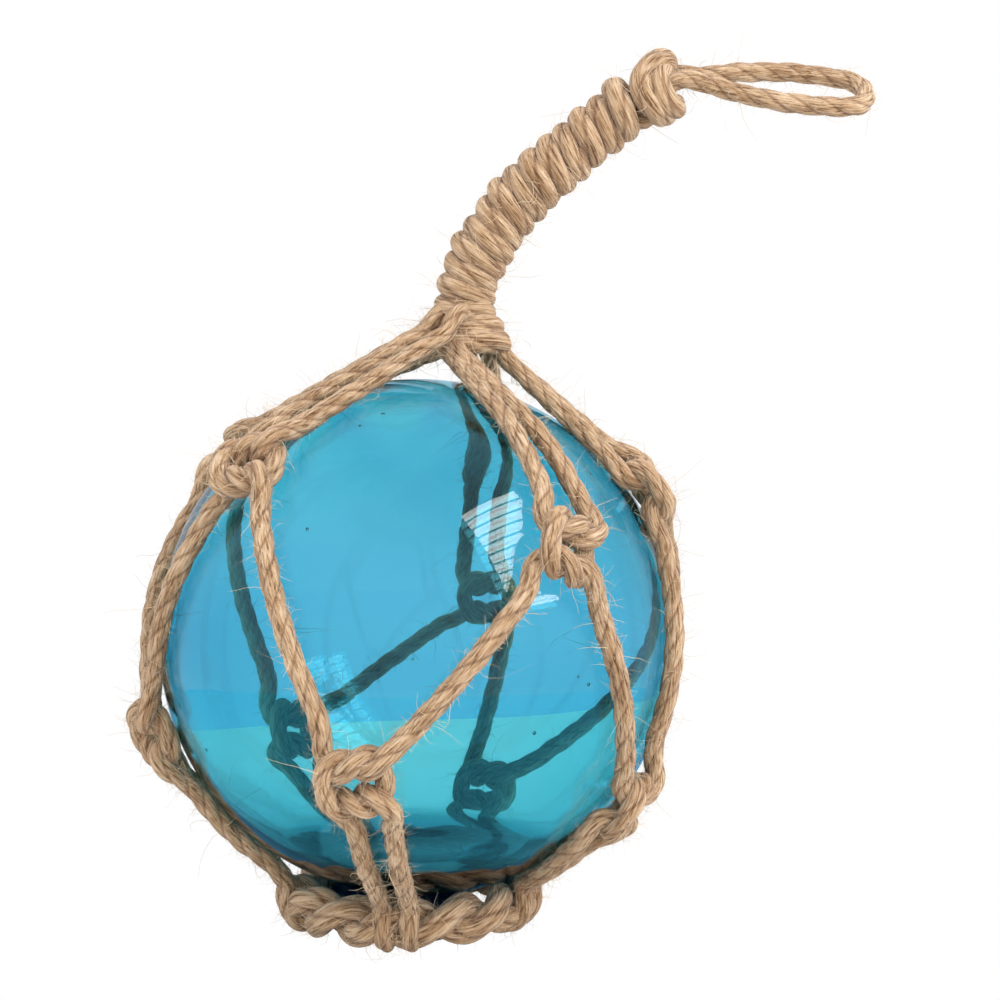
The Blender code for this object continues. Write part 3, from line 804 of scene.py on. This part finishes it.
def grow_hairs(name, skins, hairs):
    """Loose fibres of several ropes as fine curling ribbons."""
    per_metre, shortest, longest, width, segments, curling, seed = hairs
    rng = np.random.default_rng(seed)
    roots, starts = [], []
    for points, tangents, across, upward, radii in skins:
        length = path_lengths(points)[-1]
        count = int(length * per_metre)
        at = rng.integers(0, len(points), count)
        turn = rng.uniform(0, 2 * math.pi, count)
        out = across[at] * np.cos(turn)[:, None] + upward[at] * np.sin(turn)[:, None]
        sense = rng.choice((-1.0, 1.0), count)[:, None]
        roots.append(points[at] + out * (radii[at] * HAIR_ROOT)[:, None])
        starts.append(units(tangents[at] * sense * rng.uniform(*HAIR_ALONG, (count, 1))
                            + out * rng.uniform(*HAIR_OUTWARDS, (count, 1))
                            + rng.normal(0, HAIR_SPREAD, (count, 3))))
    roots, headings = np.vstack(roots), np.vstack(starts)
    count = len(roots)
    size = rng.uniform(0, 1, count) ** 2 * (longest - shortest) + shortest
    step = (size / segments)[:, None]
    curl = rng.normal(0, 1, (count, 3)) * curling
    spine = [roots]
    aims = [headings]
    for _ in range(segments):
        headings = units(headings + curl + rng.normal(0, HAIR_WANDER, (count, 3)))
        spine.append(spine[-1] + headings * step)
        aims.append(headings)
    spine, aims = np.stack(spine, axis=1), np.stack(aims, axis=1)
    flat = units(np.cross(aims, rng.normal(0, 1, (count, 1, 3))))
    taper = np.linspace(1.0, HAIR_TIP, segments + 1)[None, :, None] * width / 2
    vertices = np.stack([spine - flat * taper, spine + flat * taper], axis=2)
    vertices[..., 2] = np.maximum(vertices[..., 2], width)
    index = np.arange(count * (segments + 1) * 2).reshape(count, segments + 1, 2)
    faces = np.stack([index[:, :-1, 0], index[:, :-1, 1], index[:, 1:, 1], index[:, 1:, 0]], axis=-1)
    hairs = new_mesh(name, vertices.reshape(-1, 3), faces.reshape(-1, 4))
    hairs.data.materials.append(bpy.data.materials["jute_fibre"])
    return hairs


def wall_depth(away):
    """The glass's thickness in each direction from the middle of the ball."""
    x, y, z = away.T
    low = np.clip((-z - LOW_WALL_START) / LOW_WALL_SPAN, 0, 1)
    under = np.clip((-z - BASE_WALL_START) / BASE_WALL_SPAN, 0, 1)
    gain = LOW_WALL_GAIN * low + BASE_WALL_GAIN * under * under * (3 - 2 * under)
    wave = (np.sin(WAVE_ACROSS[0] * x + WAVE_ACROSS[1]) * np.sin(WAVE_DEEP[0] * y + WAVE_DEEP[1])
            + WAVE_RISING_HEIGHT * np.sin(WAVE_RISING[0] * z + WAVE_RISING[1] * x)
            + TOP_WAVE_HEIGHT * np.clip(z - TOP_WAVE_START, 0, 1)
            * np.sin(TOP_WAVE[0] * x + TOP_WAVE[1] * y) * np.sin(TOP_WAVE[2] * z))
    return GLASS_WALL + gain - GLASS_WAVE * wave


def make_glass():
    """The blown ball, hollow, with its wall a little uneven, and the solid seal under it."""
    rings = GLASS_SEGMENTS // 2
    work = bmesh.new()
    bmesh.ops.create_uvsphere(work, u_segments=GLASS_SEGMENTS, v_segments=rings, radius=1.0)
    shell = bpy.data.meshes.new("glass")
    work.to_mesh(shell)
    work.free()
    away = np.zeros(len(shell.vertices) * 3, dtype=np.float32)
    shell.vertices.foreach_get("co", away)
    away = away.reshape(-1, 3).astype(float)
    inside = BALL_CENTRE + away * (BALL_RADIUS - wall_depth(away))[:, None]
    ball = bpy.data.objects.new("glass_float", shell)
    bpy.context.scene.collection.objects.link(ball)
    shell.vertices.foreach_set("co", (BALL_CENTRE + away * BALL_RADIUS).astype(np.float32).ravel())
    seal = make_seal()
    join = ball.modifiers.new("seal", "BOOLEAN")
    join.operation = "UNION"
    join.object = seal
    bpy.context.view_layer.update()
    depsgraph = bpy.context.evaluated_depsgraph_get()
    joined = bpy.data.meshes.new_from_object(ball.evaluated_get(depsgraph))
    ball.modifiers.clear()
    hollow = bmesh.new()
    bmesh.ops.create_uvsphere(hollow, u_segments=GLASS_SEGMENTS, v_segments=rings, radius=1.0)
    for vertex, place in zip(hollow.verts, inside):
        vertex.co = place
    bmesh.ops.reverse_faces(hollow, faces=hollow.faces)
    lining = bpy.data.meshes.new("lining")
    hollow.to_mesh(lining)
    hollow.free()
    work = bmesh.new()
    work.from_mesh(joined)
    work.from_mesh(lining)
    add_bubbles(work)
    work.to_mesh(joined)
    work.free()
    bpy.data.objects.remove(seal, do_unlink=True)
    ball.data = joined
    joined.shade_smooth()
    joined.set_sharp_from_angle(angle=math.radians(SHARP_ANGLE))
    joined.materials.clear()
    joined.materials.append(bpy.data.materials["blue_glass"])
    return ball


def make_seal():
    """The lump of glass that closes the ball, turned about the vertical through its flat."""
    flat, waist = SEAL_FLAT_DIAMETER / 2, SEAL_DIAMETER / 2
    buried = SEAL_DROP + SEAL_DIAMETER * SEAL_BURIED_SHARE
    rounding = SEAL_DROP * SEAL_ROUNDING
    profile = [(0.0, 0.0)]
    for share in np.linspace(0.0, 1.0, SEAL_ROUNDING_STEPS):
        turn = share * math.pi / 2
        profile.append((flat + (waist - flat) * math.sin(turn), rounding * (1 - math.cos(turn))))
    profile += [(waist * SEAL_SHOULDER_SHARE, SEAL_DROP), (waist * SEAL_TOP_SHARE, buried),
                (0.0, buried)]
    work = bmesh.new()
    edge = [work.verts.new((radius, 0.0, height)) for radius, height in profile]
    lines = [work.edges.new(pair) for pair in zip(edge, edge[1:])]
    bmesh.ops.spin(work, geom=edge + lines, cent=(0, 0, 0), axis=(0, 0, 1), dvec=(0, 0, 0),
                   angle=2 * math.pi, steps=SEAL_SEGMENTS, use_merge=True)
    bmesh.ops.remove_doubles(work, verts=work.verts, dist=WELD_DISTANCE)
    bmesh.ops.recalc_face_normals(work, faces=work.faces)
    mesh = bpy.data.meshes.new("seal")
    work.to_mesh(mesh)
    work.free()
    seal = bpy.data.objects.new("seal_guide", mesh)
    bpy.context.scene.collection.objects.link(seal)
    return seal


def add_bubbles(work):
    """Small air bubbles inside the wall of the glass."""
    rng = np.random.default_rng(BUBBLE_SEED)
    for _ in range(BUBBLE_COUNT):
        away = direction(rng.uniform(*BUBBLE_AZIMUTHS), rng.uniform(*BUBBLE_LATITUDES))
        size = rng.uniform(*BUBBLE_RADII)
        found = bmesh.ops.create_icosphere(work, subdivisions=BUBBLE_SUBDIVISIONS,
                                           radius=size)["verts"]
        middle = Vector(BALL_CENTRE + away * (BALL_RADIUS - GLASS_WALL / 2))
        bmesh.ops.translate(work, verts=found, vec=middle)
        faces = list({face for vertex in found for face in vertex.link_faces})
        bmesh.ops.reverse_faces(work, faces=faces)


def node(tree, kind, **values):
    """A node of a kind with its properties set."""
    made = tree.nodes.new(kind)
    for key, value in values.items():
        setattr(made, key, value)
    return made


def noise(tree, where, settings):
    """Values of a noise with a scale, a detail and a roughness, at a place."""
    made = node(tree, "ShaderNodeTexNoise")
    for name, value in zip(("Scale", "Detail", "Roughness"), settings):
        made.inputs[name].default_value = value
    tree.links.new(where, made.inputs["Vector"])
    return made.outputs["Fac"]


def ramp(tree, value, stops):
    """The colour at a value, between stops of a position and a colour."""
    made = node(tree, "ShaderNodeValToRGB")
    elements = made.color_ramp.elements
    elements[0].position, elements[1].position = stops[0][0], stops[-1][0]
    for position, _ in stops[1:-1]:
        elements.new(position)
    for element, (_, colour) in zip(elements, stops):
        element.color = (*colour, 1.0)
    tree.links.new(value, made.inputs["Fac"])
    return made.outputs["Color"]


def mix(tree, factor, first, second, blend="MIX"):
    """Two colours mixed by a share; each is a plain value or a node's output."""
    made = node(tree, "ShaderNodeMix", data_type="RGBA", blend_type=blend)
    for name, value in (("Factor", factor), ("A", first), ("B", second)):
        if isinstance(value, bpy.types.NodeSocket):
            tree.links.new(value, made.inputs[name])
        else:
            made.inputs[name].default_value = (*value, 1.0) if isinstance(value, tuple) else value
    return made.outputs["Result"]


def new_material(name, values):
    """A material with plain values on its shader."""
    material = bpy.data.materials.new(name)
    material.use_nodes = True
    shader = material.node_tree.nodes["Principled BSDF"]
    for key, value in values.items():
        shader.inputs[key].default_value = value
    return material


def make_jute():
    """Laid jute: fibres streaked along the rope, with painted shade darkening the grooves between the
    strands.
    """
    tree = new_material("laid_jute", JUTE_SHADER).node_tree
    shader = tree.nodes["Principled BSDF"]
    fibre = node(tree, "ShaderNodeAttribute", attribute_name="fibre").outputs["Vector"]
    groove_shade_mask = node(tree, "ShaderNodeAttribute", attribute_name="groove_shade_mask").outputs["Fac"]
    stretch = node(tree, "ShaderNodeVectorMath", operation="MULTIPLY")
    stretch.inputs[1].default_value = FIBRE_STRETCH
    tree.links.new(fibre, stretch.inputs[0])
    fine = noise(tree, stretch.outputs[0], FINE_NOISE)
    broad = noise(tree, stretch.outputs[0], BROAD_NOISE)
    patches = noise(tree, fibre, PATCH_NOISE)
    colour = mix(tree, BROAD_SHARE, ramp(tree, fine, STREAKS), ramp(tree, broad, BROAD_STREAKS),
                 "MULTIPLY")
    # Painted shade: darken the grooves between the strands
    colour = mix(tree, 1.0, colour, ramp(tree, groove_shade_mask, GROOVE_PAINTED_SHADE), "MULTIPLY")
    colour = mix(tree, 1.0, colour, ramp(tree, patches, PATCHES), "MULTIPLY")
    tree.links.new(colour, shader.inputs["Base Color"])
    bump = node(tree, "ShaderNodeBump")
    bump.inputs["Strength"].default_value = 1.0
    bump.inputs["Distance"].default_value = BUMP_DISTANCE
    tree.links.new(fine, bump.inputs["Height"])
    tree.links.new(bump.outputs["Normal"], shader.inputs["Normal"])


def make_blue_glass():
    """Clear blue glass, its colour deeper where the light goes further through it."""
    tree = new_material("blue_glass", GLASS_SHADER).node_tree
    depth = node(tree, "ShaderNodeVolumeAbsorption")
    for key, value in GLASS_DEPTH.items():
        depth.inputs[key].default_value = value
    tree.links.new(depth.outputs["Volume"], tree.nodes["Material Output"].inputs["Volume"])


def make_table():
    """A pale round table, seen only through the glass, in reflections and as soft light."""
    disc = bmesh.new()
    bmesh.ops.create_circle(disc, cap_ends=True, segments=TABLE_SEGMENTS, radius=TABLE_RADIUS)
    mesh = bpy.data.meshes.new("floor")
    disc.to_mesh(mesh)
    disc.free()
    table = bpy.data.objects.new("floor", mesh)
    bpy.context.scene.collection.objects.link(table)
    paper = new_material("paper", PAPER_SHADER)
    tree = paper.node_tree
    ray = node(tree, "ShaderNodeLightPath")
    plain = node(tree, "ShaderNodeMath", operation="MAXIMUM")
    tree.links.new(ray.outputs["Is Transmission Ray"], plain.inputs[0])
    tree.links.new(ray.outputs["Is Diffuse Ray"], plain.inputs[1])
    tint = mix(tree, plain.outputs["Value"], TABLE_MIRRORED, TABLE_PLAIN)
    tree.links.new(tint, tree.nodes["Principled BSDF"].inputs["Base Color"])
    mesh.materials.append(paper)
    table.visible_camera = False


def make_surround():
    """A plain white surround, blue in reflections and in what shows through the glass."""
    world = bpy.data.worlds.new("studio")
    bpy.context.scene.world = world
    world.use_nodes = True
    tree = world.node_tree
    ray = node(tree, "ShaderNodeLightPath")
    where = node(tree, "ShaderNodeTexCoord")
    split = node(tree, "ShaderNodeSeparateXYZ")
    tree.links.new(where.outputs["Generated"], split.inputs[0])
    rise = node(tree, "ShaderNodeMapRange")
    rise.inputs["From Min"].default_value = -1.0
    tree.links.new(split.outputs["Z"], rise.inputs["Value"])
    through = ramp(tree, rise.outputs["Result"], ROOM_THROUGH)
    colour = mix(tree, ray.outputs["Is Transmission Ray"], ROOM_MIRRORED, through)
    colour = mix(tree, ray.outputs["Is Diffuse Ray"], colour, ROOM_SOFT)
    colour = mix(tree, ray.outputs["Is Camera Ray"], colour, WHITE)
    tree.links.new(colour, tree.nodes["Background"].inputs["Color"])


def make_window():
    """A tall window with a slatted blind, to the right of the camera and above."""
    towards = unit(np.array(WINDOW_DIRECTION))
    across = unit(np.cross(towards, [0.0, 0.0, 1.0]))
    upward = np.cross(across, towards)
    middle = BALL_CENTRE + towards * WINDOW_DISTANCE
    pitch = WINDOW_HEIGHT / WINDOW_SLATS
    vertices, faces = [], []
    for k in range(WINDOW_SLATS):
        low = -WINDOW_HEIGHT / 2 + pitch * k
        high = low + pitch * SLAT_SHARE
        for side, height in ((-0.5, low), (0.5, low), (0.5, high), (-0.5, high)):
            vertices.append(middle + across * WINDOW_WIDTH * side + upward * height)
        faces.append([4 * k + j for j in range(4)])
    window = new_mesh("window", vertices, faces)
    window.data.materials.append(new_material("window_glow", WINDOW_SHADER))


def add_light(name, place, size, power):
    """A square soft light that faces the ball."""
    light = bpy.data.lights.new(name, "AREA")
    light.energy = power
    light.size = size
    lamp = bpy.data.objects.new(name, light)
    bpy.context.scene.collection.objects.link(lamp)
    lamp.location = place
    lamp.visible_glossy = False
    lamp.visible_transmission = False
    aim = bpy.data.objects.new(name + "_aim", None)
    aim.location = BALL_CENTRE
    bpy.context.scene.collection.objects.link(aim)
    look = lamp.constraints.new("TRACK_TO")
    look.target = aim
    look.track_axis = "TRACK_NEGATIVE_Z"
    look.up_axis = "UP_Y"


def make_camera():
    """The camera, in front of the ball and a little above its middle."""
    data = bpy.data.cameras.new("camera")
    data.lens = CAMERA_LENS
    data.sensor_width = SENSOR_WIDTH
    camera = bpy.data.objects.new("camera", data)
    camera.location = BALL_CENTRE + np.array(CAMERA_FROM_BALL)
    camera.rotation_euler = (math.radians(90.0 - CAMERA_PITCH), 0.0, 0.0)
    bpy.context.scene.collection.objects.link(camera)
    bpy.context.scene.camera = camera


def place(piece, slot, *nodes):
    """Let a piece ride with the object, and stand for the solids it covers."""
    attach(piece, "root")
    if nodes:
        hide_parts(*nodes)


def main():
    make_jute()
    new_material("jute_fibre", FIBRE_SHADER)
    make_blue_glass()
    place(make_glass(), "glass", "glass_ball")
    skins = []
    for seed, (name, (points, radii)) in enumerate(net_routes().items()):
        rope, skin = make_rope("rope_" + name, points, radii, seed + 1)
        place(rope, "jute", name)
        skins.append(skin)
    points = ring_route()
    ring, skin = make_rope("rope_base_ring", points, np.full(len(points), RING_ROPE_RADIUS),
                           RING_SEED, closed=True)
    place(ring, "jute", "base_ring")
    skins.append(skin)
    points, radii = serving_route()
    serving, skin = make_rope("rope_handle_serving", points, radii, SERVING_SEED,
                              lay_lengths=SERVING_LAY_LENGTHS)
    place(serving, "jute", "handle_serving")
    skins.append(skin)
    points, radii = eye_route()
    eye, skin = make_rope("rope_hanging_eye", points, radii, EYE_SEED)
    place(eye, "jute", "hanging_eye")
    skins.append(skin)
    cords = 2 * len(LOWER_KNOTS)
    place(grow_hairs("fuzz_net", skins[:cords], NET_FUZZ), "jute")
    place(grow_hairs("fuzz_rest", skins[cords:], REST_FUZZ), "jute")
    place(grow_hairs("whiskers", skins, WHISKERS), "jute")
    make_table()
    make_surround()
    make_window()
    add_light("fill", FILL_PLACE, FILL_SIZE, FILL_POWER)
    make_camera()
    bpy.context.scene.view_settings.view_transform = "Standard"
    bpy.context.scene.cycles.use_denoising = True


main()
